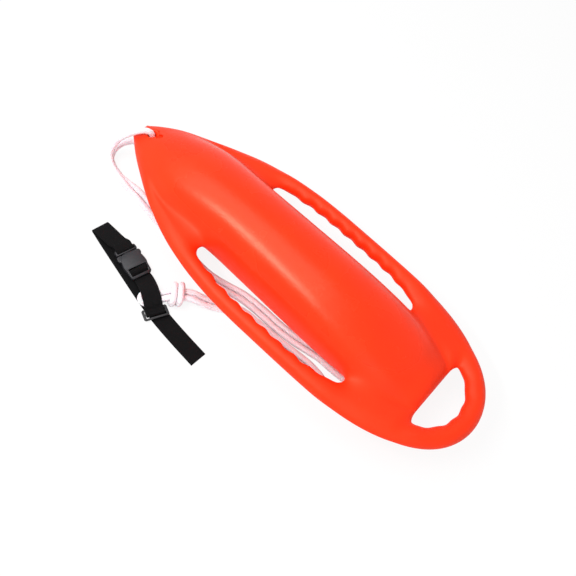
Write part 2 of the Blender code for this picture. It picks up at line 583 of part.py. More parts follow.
def main():
    for old in list(bpy.data.objects):
        bpy.data.objects.remove(old, do_unlink=True)
    shell = material("hull_plastic", (0.95, 0.09, 0.03), 0.4)
    foam = material("foam", (0.92, 0.88, 0.75), 0.9)
    plug = material("plug_plastic", (0.8, 0.06, 0.03), 0.45)
    braid = material("rope_braid", (0.9, 0.87, 0.87), 0.85)
    webbing = material("belt_webbing", (0.02, 0.02, 0.022), 0.8)
    acetal = material("buckle_plastic", (0.03, 0.03, 0.035), 0.45)
    build_hull(shell)
    add_object("foam_core", loft("foam_core", core_rings(WALL + CORE_GAP, CORE_FRONT)), foam, (0, 0, MID_Z))
    build_plug(plug)
    build_rope(braid)
    build_straps(webbing)
    build_buckle(acetal)
    build_slider(acetal)


main()
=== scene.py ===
"""Looks of the rescue buoy: smooth hull, braided rope, woven belt, buckle, floor and light."""
import math

import bmesh
import bpy
import numpy as np
from mathutils import Matrix, Vector


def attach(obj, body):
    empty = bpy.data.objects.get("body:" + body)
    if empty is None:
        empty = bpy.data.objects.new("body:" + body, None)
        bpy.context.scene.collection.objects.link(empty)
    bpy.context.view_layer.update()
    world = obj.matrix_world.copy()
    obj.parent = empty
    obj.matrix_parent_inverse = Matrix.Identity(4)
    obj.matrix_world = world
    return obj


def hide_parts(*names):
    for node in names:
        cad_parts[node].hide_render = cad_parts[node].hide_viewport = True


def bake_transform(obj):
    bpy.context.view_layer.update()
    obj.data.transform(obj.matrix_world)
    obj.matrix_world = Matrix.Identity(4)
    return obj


bl_info = {
    "name": "Rescue Buoy",
    "version": (1, 0, 0),
    "blender": (4, 5, 0),
    "location": "View3D > Sidebar > Buoy",
    "description": "Dresses a moulded rescue buoy with its rope and belt",
    "category": "Object",
}

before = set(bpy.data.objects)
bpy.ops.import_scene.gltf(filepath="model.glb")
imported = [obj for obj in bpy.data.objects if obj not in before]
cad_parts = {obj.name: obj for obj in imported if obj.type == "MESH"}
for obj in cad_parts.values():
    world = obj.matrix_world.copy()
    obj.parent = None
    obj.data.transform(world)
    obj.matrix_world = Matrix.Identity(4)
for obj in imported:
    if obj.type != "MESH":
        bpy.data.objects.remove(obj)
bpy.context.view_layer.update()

MM = 0.001

# Hull offsets, in millimetres: (station along X, value)
MID_Z = 66.5
HALF_WIDTH = [(-290, 109), (-240, 128), (-200, 136.6), (-150, 141.8), (-100, 143), (-50, 143.3), (0, 143.3),
              (50, 142), (100, 137), (145, 129), (180, 119.7), (210, 108.6), (240, 94.3), (270, 77.3),
              (300, 60.2), (325, 45.6), (345, 31.2), (356, 21.8)]
HALF_HEIGHT = [(-290, 13), (-265, 19), (-240, 28), (-200, 42), (-150, 55), (-100, 63), (-50, 66.8), (0, 67.5),
               (50, 67.5), (100, 66.5), (140, 64.5), (180, 60.5), (210, 56), (240, 49.5), (270, 42),
               (300, 33), (325, 23.8), (345, 14.8), (356, 9.8)]
BODY_WIDTH = [(-290, 48), (-240, 65), (-200, 75), (-150, 79), (-100, 78.4), (-50, 77), (0, 75.7), (50, 74.4),
              (100, 73.5), (145, 73), (180, 74), (210, 74.5), (240, 71.5), (270, 62), (300, 49), (330, 32)]
GRIP_LINE = [(-165, 97), (-151, 103.5), (-136, 110.5), (-121, 114.5), (-60, 118), (0, 118), (60, 116),
             (90, 112), (112, 107), (129, 101)]
WEB_INNER = [(-290, 55), (-240, 76), (-190, 85), (145, 80), (180, 79.5), (210, 79), (240, 75), (270, 65),
             (300, 52)]
WEB_OUTER = [(-290, 64), (-240, 92), (-190, 104), (145, 99), (180, 96), (210, 88), (240, 80.5), (270, 69),
             (300, 55)]
FRONT_WEBS = (358, 345, 325, 302, 275, 248, 222, 195, 171, 150)
REAR_WEBS = (-190, -215, -240, -260, -274)
TIP_X, TIP_HALF = 368.0, 15.0
RIM_HALF = 13.5
WEB_HALF, WEB_SHARE, WEB_CROWN, WEB_MARGIN = 13.0, 0.8, 1.0, 4.0
WEB_THINS_FROM, WEB_THINS_OVER, WEB_THINS_BY = 190.0, 50.0, 5.0
NOSE_FROM, NOSE_BLEND = 318.0, 80.0
BODY_POWER = 2.1
NOSE_POWER = 2.0

# Rows of the hull's cage: angles from the top of the section, and the row beyond which a slot is open
WEB_ANGLES = (0, 26, 50, 69)
SLOT_ANGLES = (0, 26, 50, 71, 90)
NOSE_ANGLES = (0, 15, 29, 43, 56, 68, 79, 90)
ROWS = 8
SLOT_ROW = 4

# Side slots: ends as (station, inner edge, outer edge), plain stations beside the grips, and the grips
SLOT_FRONT, SLOT_REAR = (129.0, 83, 97), (-165.0, 84, 92)
SLOT_PLAIN_FRONT, SLOT_PLAIN_REAR = 113, -151
GRIP_FIRST, GRIP_PITCH, GRIP_COUNT = 84.0, 29.3, 8
GRIP_WAVE = 7.5

# Tail grip hole: its straight side, then matching points of the hole's edge and of the tail's edge
HOLE_X, HOLE_RIM_Y, HOLE_SKEW = -287.0, 62, 3
HOLE_SIDE = (0, 13, 26, 39)
HOLE_CORNER = [(HOLE_X, 47), (-291, 58)]
HOLE_LIFT = 1.25
HOLE_EDGE = [(-299, 61), (-310.5, 56), (-318.5, 40.8), (-330.5, 28.8), (-329.3, 14.6), (-336, 0)]
TAIL_EDGE = [(-304, 100.3), (-324, 86.4), (-342, 68.9), (-355.5, 46.8), (-363.5, 23.4), (-366, 0)]

# Rope tunnel and filler port in the nose
TUNNEL_X, TUNNEL_RADIUS, TUNNEL_FLARE, TUNNEL_MOUTH = 337.0, 6.75, 5.5, 1.5
FLARE_ANGLES = range(0, 88, 9)
PORT_X, PORT_TILT = 321.0, math.radians(18)
PORT_RADIUS, PORT_SEAT, PORT_DEPTH, PORT_BORE = 4.3, 5.9, 5.0, 13.0
PORT_LIP, PORT_SPREAD, PORT_TOP = 0.6, 1.2, 6.0
BORE_SIDES = 48
CLEAR = 12.0

# A subdivided cage shrinks, so its controls lie outside the surface by these factors
SECTION_LIFT = 1.026
RIM_LIFT = 1.5

# Parting line: only on the outer edge, so beyond these limits
SEAM_SIDE, SEAM_TAIL, SEAM_NOSE = 95.0, -340.0, 140.0

# Height from the middle to where the skin is dulled by hands, and to where it is as new
HANDLED, UNTOUCHED = 16.0, 32.0

# Steps along paths in millimetres, and the turns in degrees that shorten them
PAIR_STEP, BRAID_STEP, CORD_STEP = 3.0, 1.3, 4.0
ROPE_STEP, ROPE_BEND = 20, 15
WEB_STEP, WEB_BEND = 2.0, 6
SPAN_STEPS = 12

# Rope, in millimetres: distance of a leg from the pair's middle, and both legs' way out of the nose
LEG_OFFSET = 5.65
LEG_OVER_NOSE = [(337, 0, 66.8), (337, 0, 75), (338.5, 1, 83), (342.5, 5, 88), (348.5, 12, 89.5),
                 (356.3, 19.5, 84.5), (366, 25, 73.5), (376.5, 28.5, 59.5), (383.6, 33.5, 45.5),
                 (386, 40.5, 33), (384, 49, 24.5), (376, 56, 19.3), (365.4, 61.2, 17), (352.3, 64.8, 16.4),
                 (339.5, 66.9, 15), (326.8, 67.2, 11.3), (313.8, 66.8, 7)]
LEG_UNDER_NOSE = [(337, 0, 66.2), (337, 0, 58), (338, 0, 51), (341.5, 0.3, 45), (347.5, 1, 40.5),
                  (355, 2, 38), (364, 3.8, 36.5), (373, 7.5, 34), (380.5, 13, 29.5), (386.5, 20, 23.5),
                  (390.5, 28, 16), (390, 37, 9), (383, 46.2, 5.7), (370.5, 52.8, 5.4), (356.3, 56.8, 5.4),
                  (342, 58.6, 5.4), (327, 57.3, 5.4), (313, 55.8, 5.4)]

# Run of both legs: on the floor at one height, then up to the knot
RUN_HEIGHT = 5.4
PAIR_ROUTE = [(x, y, RUN_HEIGHT) for x, y in (
    (300, 61.3), (285, 63), (271, 65.2), (257, 67.2), (238, 70), (220, 72.3), (192, 77), (165, 82), (140, 85),
    (118, 86), (97, 84), (70, 77.5), (43, 70), (10, 67), (-30, 66.5), (-60, 64), (-88, 59), (-115, 53.5),
    (-142, 52.5), (-168, 50.5), (-190, 44.5), (-208, 42.2), (-226, 49), (-233.5, 68), (-226, 87),
    (-208, 93.8), (-184, 94), (-160, 91), (-135, 85), (-110, 83), (-80, 85.5), (-45, 89), (-10, 90.5),
    (20, 93), (41, 100), (56, 109.5))]
PAIR_ROUTE += [(68, 118.3, 6.2), (78, 125.3, 9.6), (86.8, 130.8, 13.8), (95.2, 135.6, 16.5),
               (103.6, 142, 16.9), (112.2, 150.4, 16.9)]

# The bight's neck: place, and half the distance between its two strands
BIGHT_ROUTE = [(113.1, 151.3, 16.9, 5.65), (121, 159.4, 16.7, 5.65), (127, 166, 12.4, 5.7),
               (132, 171.8, 8.2, 6.2), (137, 177.8, 7.9, 8.3), (140.8, 183.6, 7.9, 9.5),
               (143.6, 189, 7.9, 9.5)]
BIGHT_POINTS = 9
KNOT_CENTRE = (112.5, 150.5, 16.9)
KNOT_TURN = math.radians(46)
KNOT_TURNS, KNOT_PITCH, KNOT_SHIFT, KNOT_STEPS = 2, 10.6, 2.0, 24

# Shares of the rope's diameter: reach of the knot's turns, and height of the plaits
KNOT_REACH, PLAIT_HEIGHT = 0.96, 0.055
PLAIT_FULLNESS = 0.6

# Belt and buckle, in millimetres
BUCKLE_CENTRE = (205.0, 160.5, 8.9)
BUCKLE_TURN = math.radians(-12.5)
SLIDER_CENTRE = (116.0, 196.0, 6.9)
SLIDER_TURN = math.radians(156)
BAR = 3.2
SLIDER_BAR = 2.8
MALE_BAR_X = 27.0
BAR_CORNER = 0.71
BAR_GAP, SLIDER_GAP, FLOOR_GAP = 0.4, 0.3, 0.3
FOLD_X, FOLD_RADIUS = 288, 3.4
SELVEDGE, SELVEDGE_POINTS, FLAT_POINTS = 0.7, 7, 13

# Outlines: halves are drawn for +Y, sides in XZ
HOUSING_SIDE = [(20, 3.4), (16, 5.2), (8, 6.0), (-8, 6.0), (-13, 4.8), (-26, 3.4), (-28.6, 1.8),
                (-28.6, -2.2), (-26, -4.0), (-8, -5.8), (16, -5.8), (20, -4.4)]
HOUSING_HALF = [(18.2, 0), (18.2, 9.4), (16.4, 12.2), (13, 14.6), (9, 16.6), (4, 18.4), (-4, 19.4),
                (-9, 19.4), (-12, 18.6), (-26, 17.8), (-28.5, 15.8), (-28.5, 0)]
CAVITY_HALF = [(26, 0), (26, 26), (5.4, 26), (5.4, 15.0), (2.0, 15.0), (2.0, 17.9), (-5, 17.9), (-5, 0)]
BASE_HALF = [(-3, 0), (-3, 3.6), (-1, 5.4), (19.2, 5.4), (19.2, 17.2), (20.2, 18.2), (27.6, 18.2),
             (29.4, 16.4), (29.4, 0)]
BASE_SIDE = [(-4, 2.6), (-1, 3.5), (18.8, 3.5), (19.8, 4.8), (24, 4.8), (30, 3.0), (30, -3.0), (24, -4.8),
             (19.8, -4.8), (18.8, -3.5), (-1, -3.5), (-4, -2.6)]
ARM_HALF = [(18.5, 11.5), (18.5, 17.2), (17, 19.9), (14.5, 21.0), (11, 20.8), (8, 19.2), (5.9, 16.8),
            (5.9, 14.4), (1.7, 14.4), (1.7, 17.4), (0, 17.4), (-3.8, 14.0), (-3.8, 11.8), (4, 11.2)]
SLIDER_HALF = [(-9.6, 0), (-9.6, 18.4), (-7.6, 20.6), (7.6, 20.6), (9.6, 18.4), (9.6, 0)]
CAVITY_HIGH, HOUSING_HIGH, BASE_HIGH, ARM_HIGH, GROOVE_HIGH = 3.9, 7, 6, 3.5, 4
SIDE_REACH = 25

# Windows as (rear, front, low, high), with their half widths
HOUSING_CUTS = [(-14.0, -10.6, -9, 9), (-25.0, -17.4, -9, 9), (-18.5, -13, 1.5, 9), (-18.5, -13, -9, -2.4),
                (-31, -24, -9, -1.2)]
BASE_CUTS = [(21.4, MALE_BAR_X - BAR / 2, -9, 9), (21.4, 32, BAR / 2, 9), (21.4, 32, -9, -BAR / 2),
             (MALE_BAR_X + BAR / 2, 32, -9, 9)]
SLIDER_CUTS = [(-6.6, -SLIDER_BAR / 2, -5, 5), (SLIDER_BAR / 2, 6.6, -5, 5)]
WINDOW, SLIDER_WINDOW = 15.7, 16.6

# Grooves of the arms' grips: stations, half width, and reach along Y
GROOVES, GROOVE_HALF, GROOVE_FLOOR, GROOVE_END = (10.6, 12.4, 14.2), 0.35, 20.1, 23

# Camera of the photograph, in metres
CAMERA_PLACE = (-0.2184, 0.6195, 1.0705)
CAMERA_RIGHT = (-0.7296, -0.6462, 0.2238)
CAMERA_UP = (0.6605, -0.5810, 0.4757)
CAMERA_LENS = 46.66

# Lamps, in metres: place, direction of the long side, size, setting that gives the power, share of it
LAMPS = {
    "Overhead": ((0.8, 0.3, 1.9), (1, 0, 0), (1.9, 1.7), "lamp_power", 1.0),
    "Strip": ((0.46, 0.895, 1.25), (0.89, -0.445, 0.07), (0.75, 0.08), "strip_power", 1.0),
    "Fill": ((-1.3, 1.1, 1.2), (1, 0, 0), (1.4, 1.4), "lamp_power", 0.2),
}
FLOOR_REACH = 6000
FOAM_COLOUR = (0.92, 0.88, 0.75)


# Curves and meshes

def fair(table, x):
    """Smooth monotone curve through (station, value) pairs, read at x."""
    stations, values = np.array(sorted(table), dtype=float).T
    slopes = np.diff(values) / np.diff(stations)
    tangents = [slopes[0]]
    for before, after in zip(slopes[:-1], slopes[1:]):
        same_way = before * after > 0
        tangents.append(2 * before * after / (before + after) if same_way else 0.0)
    tangents.append(slopes[-1])
    i = int(np.clip(np.searchsorted(stations, x) - 1, 0, len(slopes) - 1))
    step = stations[i + 1] - stations[i]
    t = (x - stations[i]) / step
    start, end = values[i], values[i + 1]
    return (start * (1 + 2 * t) * (1 - t) ** 2 + end * t * t * (3 - 2 * t)
            + step * (tangents[i] * t * (1 - t) ** 2 - tangents[i + 1] * t * t * (1 - t)))


def smooth_path(points, spacing, turn_step=math.inf):
    """Points along a smooth curve, a spacing apart or, where it bends, a turn step in degrees apart."""
    knots = np.array(points, dtype=float)
    ends = np.vstack([2 * knots[0] - knots[1], knots, 2 * knots[-1] - knots[-2]])
    dense = []
    for i in range(1, len(ends) - 2):
        before, start, end, after = ends[i - 1:i + 3]
        for t in np.linspace(0, 1, SPAN_STEPS, endpoint=False):
            dense.append(0.5 * (2 * start + (end - before) * t
                                + (2 * before - 5 * start + 4 * end - after) * t * t
                                + (3 * start - before - 3 * end + after) * t ** 3))
    dense.append(knots[-1])
    dense = np.array(dense)
    steps = np.diff(dense[:, :3], axis=0)
    lengths = np.linalg.norm(steps, axis=1)
    headings = steps / lengths[:, None]
    bends = np.degrees(np.arccos(np.clip((headings[1:] * headings[:-1]).sum(axis=1), -1, 1)))
    effort = np.concatenate([[0], np.cumsum(lengths / spacing + np.append(0, bends) / turn_step)])
    count = max(2, round(effort[-1]))
    wanted = np.linspace(0, effort[-1], count + 1)
    return np.column_stack([np.interp(wanted, effort, column) for column in dense.T])


def travel(points):
    """Distance travelled at each point of a polyline."""
    steps = np.diff(np.array(points)[:, :3], axis=0)
    return np.concatenate([[0], np.cumsum(np.linalg.norm(steps, axis=1))])


def new_piece(name, mesh):
    """Object of a mesh, in the scene."""
    piece = bpy.data.objects.new(name, mesh)
    bpy.context.scene.collection.objects.link(piece)
    return piece


def dress(piece, finish, node, body=None, sharp=None):
    """Gives a piece its finish, hides the plain node that it replaces, and sets it on a body to ride on if
    one is given.
    """
    piece.data.materials.clear()
    piece.data.materials.append(finish)
    piece.data.shade_smooth()
    if sharp:
        piece.data.set_sharp_from_angle(angle=math.radians(sharp))
    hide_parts(node)
    if body:
        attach(piece, body)


def mesh_from(name, vertices, faces, recalculate=True):
    """Mesh from points in millimetres."""
    mesh = bpy.data.meshes.new(name)
    shape = bmesh.new()
    made = [shape.verts.new(Vector(v) * MM) for v in vertices]
    for face in faces:
        shape.faces.new([made[i] for i in face])
    if recalculate:
        bmesh.ops.recalc_face_normals(shape, faces=shape.faces)
    shape.to_mesh(mesh)
    shape.free()
    return mesh


def lathe(name, profile, sides):
    """Turned body from (radius, height) pairs; the first and the last lie on the axis."""
    vertices = [(0, 0, profile[0][1])]
    for radius, height in profile[1:-1]:
        for k in range(sides):
            angle = 2 * math.pi * k / sides
            vertices.append((radius * math.cos(angle), radius * math.sin(angle), height))
    vertices.append((0, 0, profile[-1][1]))
    last = len(vertices) - 1
    faces = []
    for k in range(sides):
        after = (k + 1) % sides
        faces.append((0, 1 + k, 1 + after))
        faces.append((last, last - sides + k, last - sides + after))
        for ring in range(len(profile) - 3):
            low, high = 1 + ring * sides, 1 + (ring + 1) * sides
            faces.append((low + k, low + after, high + after, high + k))
    return mesh_from(name, vertices, faces)


def swept(name, centres, sections):
    """Closed skin of rings along a path, with a UV map of girth and travel in millimetres."""
    travelled = travel(centres)
    count = len(sections[0])
    around = sections[len(sections) // 2]
    girth = travel([*around, around[0]])
    mesh = bpy.data.meshes.new(name)
    shape = bmesh.new()
    uv = shape.loops.layers.uv.new("Weave")
    rows = [[shape.verts.new(Vector(p) * MM) for p in ring] for ring in sections]
    for i in range(len(rows) - 1):
        for k in range(count):
            after = (k + 1) % count
            face = shape.faces.new((rows[i][k], rows[i][after], rows[i + 1][after], rows[i + 1][k]))
            corners = ((k, i), (k + 1, i), (k + 1, i + 1), (k, i + 1))
            for loop, (a, b) in zip(face.loops, corners):
                loop[uv].uv = (girth[a], travelled[b])
    shape.faces.new(rows[0][::-1])
    shape.faces.new(rows[-1])
    bmesh.ops.recalc_face_normals(shape, faces=shape.faces)
    shape.to_mesh(mesh)
    shape.free()
    return mesh


def frames_along(points):
    """Side and up directions along a path, turning as little as they can."""
    tangents = np.gradient(points, axis=0)
    tangents /= np.linalg.norm(tangents, axis=1)[:, None]
    leaning = (0.3, 0.2, 1.0)
    side = np.cross(tangents[0], leaning)
    sides = []
    for tangent in tangents:
        side = side - tangent * side.dot(tangent)
        side /= np.linalg.norm(side)
        sides.append(side)
    sides = np.array(sides)
    return sides, np.cross(tangents, sides)


def level_sides(path):
    """Level directions across a path."""
    tangents = np.gradient(path, axis=0)
    across = np.column_stack([tangents[:, 1], -tangents[:, 0], np.zeros(len(path))])
    return across / np.linalg.norm(across, axis=1)[:, None]


# Shader maths

class Value:
    """Shader socket that takes part in Python expressions."""

    def __init__(self, nodes, socket):
        self.nodes = nodes
        self.socket = socket

    def _math(self, operation, *values):
        return self.nodes.node("ShaderNodeMath", {"operation": operation}, dict(enumerate(values)))

    def __add__(self, other):
        return self._math("ADD", self, other)

    def __radd__(self, other):
        return self._math("ADD", other, self)

    def __sub__(self, other):
        return self._math("SUBTRACT", self, other)

    def __rsub__(self, other):
        return self._math("SUBTRACT", other, self)

    def __mul__(self, other):
        return self._math("MULTIPLY", self, other)

    def __rmul__(self, other):
        return self._math("MULTIPLY", other, self)

    def __truediv__(self, other):
        return self._math("DIVIDE", self, other)

    def __rtruediv__(self, other):
        return self._math("DIVIDE", other, self)

    def __abs__(self):
        return self._math("ABSOLUTE", self)

    def fraction(self):
        """Part after the decimal point."""
        return self._math("FRACT", self)

    def wave(self):
        """Sine of the value in radians."""
        return self._math("SINE", self)

    def highest(self, other):
        """Larger of two values."""
        return self._math("MAXIMUM", self, other)

    def step_up(self, low, high):
        """Smooth rise from 0 at low to 1 at high."""
        smooth = {"interpolation_type": "SMOOTHSTEP"}
        return self.nodes.node("ShaderNodeMapRange", smooth, {0: self, 1: low, 2: high})


class Nodes:
    """Node tree that is being written."""

    def __init__(self, tree):
        self.tree = tree

    def node(self, kind, settings=None, inputs=None, output=0):
        """Any node: its settings first, then the values or links of its sockets."""
        made = self.tree.nodes.new(kind)
        for name, value in (settings or {}).items():
            setattr(made, name, value)
        for socket, value in (inputs or {}).items():
            self.join(made.inputs[socket], value)
        return Value(self, made.outputs[output])

    def join(self, socket, value):
        """Value or link into a socket."""
        if isinstance(value, Value):
            self.tree.links.new(value.socket, socket)
        else:
            socket.default_value = value

    def shown(self):
        """1 where it is seen, straight, by reflection or through glass, and 0 for its light."""
        seen = [self.node("ShaderNodeLightPath", output="Is %s Ray" % ray)
                for ray in ("Camera", "Glossy", "Transmission")]
        return seen[0].highest(seen[1]).highest(seen[2])


class Finish(Nodes):
    """Material that is being written, with its Principled shader."""

    def __init__(self, name, **constants):
        self.material = bpy.data.materials.new(name)
        self.material.use_nodes = True
        super().__init__(self.material.node_tree)
        self.shader = self.tree.nodes["Principled BSDF"]
        for socket, value in constants.items():
            self.feed(socket.replace("_", " ").title().replace("Ior", "IOR"), value)

    def feed(self, socket, value):
        """Value or link into a socket of the Principled shader."""
        if isinstance(value, tuple) and len(value) < len(self.shader.inputs[socket].default_value):
            value = (*value, 1)
        self.join(self.shader.inputs[socket], value)

    def place(self, output="Object"):
        """Texture coordinates."""
        return self.node("ShaderNodeTexCoord", output=output)

    def split(self, vector):
        """The three parts of a vector."""
        return [self.node("ShaderNodeSeparateXYZ", inputs={0: vector}, output=k) for k in range(3)]

    def noise(self, scale, detail, roughness=0.5):
        """Soft random pattern."""
        inputs = {"Vector": self.place(), "Scale": scale, "Detail": detail, "Roughness": roughness}
        return self.node("ShaderNodeTexNoise", inputs=inputs)

    def blend(self, factor, first, second):
        """Colour between two colours."""
        inputs = {0: factor, 6: (*first, 1) if isinstance(first, tuple) else first,
                  7: (*second, 1) if isinstance(second, tuple) else second}
        return self.node("ShaderNodeMix", {"data_type": "RGBA"}, inputs, output=2)

    def relief(self, height, distance):
        """Fine relief of the surface."""
        inputs = {"Height": height, "Distance": distance, "Strength": 1.0}
        self.feed("Normal", self.node("ShaderNodeBump", inputs=inputs))


def shade(colour, factor):
    """Colour made lighter or darker."""
    return tuple(min(1.0, part * factor) for part in colour)


def moulded_finish(name, colour, roughness, grain):
    """Moulded polyethylene: satin, faintly mottled and scuffed, and duller at the rim's height."""
    finish = Finish(name, specular_ior_level=0.28, specular_tint=(1.0, 0.93, 0.66))
    broad = finish.noise(scale=14.0, detail=4.0)
    fine = finish.noise(scale=900.0, detail=2.0)
    scuffs = finish.noise(scale=60.0, detail=8.0, roughness=0.75).step_up(0.60, 0.78)
    tone = finish.blend(broad.step_up(0.3, 0.7), shade(colour, 0.90), shade(colour, 1.06))
    worn = tuple(part * 0.8 + 0.14 for part in colour)
    finish.feed("Base Color", finish.blend(scuffs * 0.10, tone, worn))
    _, _, height = finish.split(finish.place())
    handled = 1 - abs(height - MID_Z * MM).step_up(HANDLED * MM, UNTOUCHED * MM)
    finish.feed("Roughness", roughness + (broad - 0.5) * 0.12 + scuffs * 0.10 + handled * 0.22)
    finish.relief(fine * 0.6 + finish.noise(scale=160.0, detail=2.0) * 0.9, grain)
    return finish.material


def braid_finish(name, colour, seam_shade_and_soil, plaits, pitch, girth):
    """Braided cord: painted shade between its plaits, with fine filaments along each of them."""
    finish = Finish(name, roughness=0.85, sheen_weight=0.15, specular_ior_level=0.25, subsurface_weight=0.5,
                    subsurface_radius=(1.0, 0.75, 0.8), subsurface_scale=0.006)
    across, along, _ = finish.split(finish.place("UV"))
    first = (across / girth * plaits + along / pitch * plaits).fraction()
    second = (across / girth * plaits - along / pitch * plaits).fraction()
    seam = abs(first - 0.5).highest(abs(second - 0.5)).step_up(0.34, 0.5)
    threads = (across * 9.0 + along * 5.0).wave() * 0.5 + 0.5
    threads = threads * ((across * 9.0 - along * 5.0).wave() * 0.5 + 0.5)
    soiled = finish.noise(scale=30.0, detail=5.0).step_up(0.45, 0.8)
    # Painted shade: the colour goes towards the shade colour in the seams between the plaits; a darker copy
    # of that colour is the soiling
    tone = finish.blend(seam * 0.55, colour, seam_shade_and_soil)
    finish.feed("Base Color", finish.blend(soiled * 0.10, tone, shade(seam_shade_and_soil, 0.8)))
    finish.relief(threads * 0.4 - seam, 0.0004)
    return finish.material


def webbing_finish(name, colour, thread):
    """Woven webbing: ribs across, warp lines along, dull with a faint sheen, with painted shade between the
    threads and painted highlight on the ribs.
    """
    finish = Finish(name, sheen_weight=0.02, specular_ior_level=0.08)
    across, along, _ = finish.split(finish.place("UV"))
    weft = (along * (2 * math.pi / thread)).wave() * 0.5 + 0.5
    warp = (across * (2 * math.pi / (thread * 0.62))).wave() * 0.5 + 0.5
    weave = weft * 0.6 + warp * 0.4 + weft * warp * 0.3
    dust = finish.noise(scale=45.0, detail=6.0, roughness=0.7).step_up(0.5, 0.8)
    # Painted light: darker between the threads and lighter on the ribs, following the weave's height
    tone = finish.blend(weave, shade(colour, 0.55), shade(colour, 1.5))
    finish.feed("Base Color", finish.blend(dust * 0.15, tone, shade(colour, 3.0)))
    finish.feed("Roughness", 0.78 - weave * 0.12)
    finish.relief(weave, 0.00035)
    return finish.material


def acetal_finish(name, colour, roughness):
    """Injection-moulded acetal: dark, with a blue-grey sheen and a fine spark-eroded skin."""
    finish = Finish(name, specular_ior_level=0.45)
    broad = finish.noise(scale=120.0, detail=3.0)
    fine = finish.noise(scale=2400.0, detail=2.0)
    rubs = finish.noise(scale=420.0, detail=7.0, roughness=0.8).step_up(0.58, 0.75)
    tone = finish.blend(broad, shade(colour, 0.8), shade(colour, 1.25))
    finish.feed("Base Color", finish.blend(rubs * 0.15, tone, shade(colour, 3.0)))
    finish.feed("Roughness", roughness + (broad - 0.5) * 0.16 + rubs * 0.1)
    finish.relief(fine, 0.00008)
    return finish.material


def foam_finish(name, colour):
    """Closed-cell foam."""
    finish = Finish(name, roughness=0.9)
    cells = finish.node("ShaderNodeTexVoronoi", inputs={"Vector": finish.place(), "Scale": 700.0})
    finish.feed("Base Color", finish.blend(cells, shade(colour, 0.85), colour))
    finish.relief(cells, 0.0004)
    return finish.material


# Hull

def superellipse(half_width, half_height, angle, power):
    """Point of a rounded section, angle 0 at the top and 90 degrees at the side."""
    turn = math.radians(angle)
    return (half_width * math.sin(turn) ** (2 / power), half_height * max(0, math.cos(turn)) ** (2 / power))


def rim_controls(inner, outer):
    """Inner edge, crown and outer edge of the rim as subdivision controls."""
    inner, outer = np.array(inner, dtype=float), np.array(outer, dtype=float)
    centre = (inner + outer) / 2
    return inner * RIM_LIFT - centre * (RIM_LIFT - 1), centre, outer * RIM_LIFT - centre * (RIM_LIFT - 1)


def body_row(x, angle):
    """Point of the body's section as a subdivision control."""
    width, height = fair(BODY_WIDTH, x), fair(HALF_HEIGHT, x)
    return superellipse(width * SECTION_LIFT, height * SECTION_LIFT, angle, BODY_POWER)


def web_station(x):
    """Section where body and rim are joined, blended into the nose's single rounded section."""
    width, height = fair(HALF_WIDTH, x), fair(HALF_HEIGHT, x)
    web = min(WEB_HALF, height * WEB_SHARE)
    web -= WEB_THINS_BY * float(np.clip((x - WEB_THINS_FROM) / WEB_THINS_OVER, 0, 1))
    crown = max(width - RIM_HALF, fair(WEB_OUTER, x) + WEB_MARGIN)
    rows = [body_row(x, angle) for angle in WEB_ANGLES]
    rows += [(fair(WEB_INNER, x), web), (fair(WEB_OUTER, x), web), (crown, web + WEB_CROWN),
             (width + RIM_HALF / 2, 0)]
    blend = float(np.clip((NOSE_FROM - x) / NOSE_BLEND, 0, 1))
    blend = blend * blend * (3 - 2 * blend)
    nose = [superellipse(width * SECTION_LIFT, height * SECTION_LIFT, angle, NOSE_POWER)
            for angle in NOSE_ANGLES]
    return [(x, *(np.array(near) * (1 - blend) + np.array(far) * blend)) for near, far in zip(nose, rows)]


def slot_station(x, wave):
    """Section across a side slot: body and rim apart, both closed on the mid-plane."""
    rows = [(x, *body_row(x, angle)) for angle in SLOT_ANGLES]
    grip = fair(GRIP_LINE, x)
    width = fair(HALF_WIDTH, x)
    centre = width - RIM_HALF
    inner = grip * RIM_LIFT - (grip + width) / 2 * (RIM_LIFT - 1) - wave
    return rows + [(x, inner, 0), (x, centre, RIM_HALF * RIM_LIFT), (x, width + RIM_HALF / 2, 0)]


def slot_end(x, inner, outer):
    """Section at the end wall of a side slot."""
    rows = slot_station(x, 0)
    rows[SLOT_ROW], rows[SLOT_ROW + 1] = (x, inner, 0), (x, outer, 0)
    return rows


